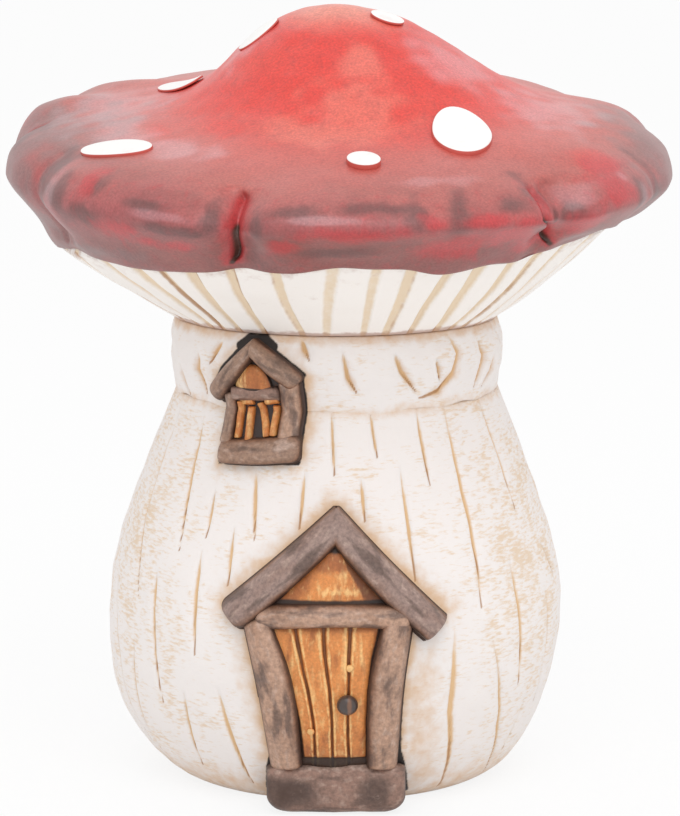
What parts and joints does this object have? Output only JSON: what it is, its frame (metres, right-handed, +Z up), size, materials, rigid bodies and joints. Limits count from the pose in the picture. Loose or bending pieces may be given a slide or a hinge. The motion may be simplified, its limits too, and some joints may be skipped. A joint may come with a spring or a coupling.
{
  "type": "toadstool house garden ornament",
  "caption": "Hollow ceramic toadstool house ornament: pear-shaped stem with ruffled collar, gabled log door and window in relief, gilled dish under a pinched red cap with raised white spots.",
  "frame": {"origin": "on the ground, under the axis of the stem", "axes": "+Z up along the stem's axis; the door faces -Y, and the window is to the -X side of the door"},
  "size_m": [0.2076, 0.208, 0.24],
  "materials": {
    "stem": "matt white paint dry-brushed over cream, tan wash in the incised lines",
    "gill": "matt cream-white paint, tan wash in the gill grooves",
    "cap": "red paint shaded dark at the rim, under a satin varnish",
    "spot": "satin white paint",
    "timber": "grey-brown paint with a pale dry-brush, under a satin varnish",
    "panel": "orange-ochre paint, under a satin varnish",
    "recess": "dark brown wash",
    "knob": "dark brown paint, under a satin varnish"
  },
  "bodies": {
    "root": {"stem_shell": "stem", "collar_ring": "stem", "gill_dish": "gill", "cap_shell": "cap", "doorstep": "timber", "door_leaf": "panel", "door_knob": "knob", "door_post_left": "timber", "door_post_right": "timber", "door_lintel": "timber", "door_rafter_left": "timber", "door_rafter_right": "timber", "door_gable_panel": "panel", "window_backing": "recess", "window_sill": "timber", "window_header": "timber", "window_post_left": "timber", "window_post_right": "timber", "window_rafter_left": "timber", "window_rafter_right": "timber", "window_gable_panel": "panel", "window_casement_left": "panel", "window_casement_right": "panel", "spot_front_small": "spot", "spot_front_right_large": "spot", "spot_left_rim": "spot", "spot_left_brim": "spot", "spot_crown_right": "spot", "spot_crown_left": "spot", "spot_back_brim": "spot", "spot_back_right": "spot", "spot_back_crown": "spot", "spot_back_rim": "spot", "spot_back_left": "spot"}
  },
  "joints": []
}
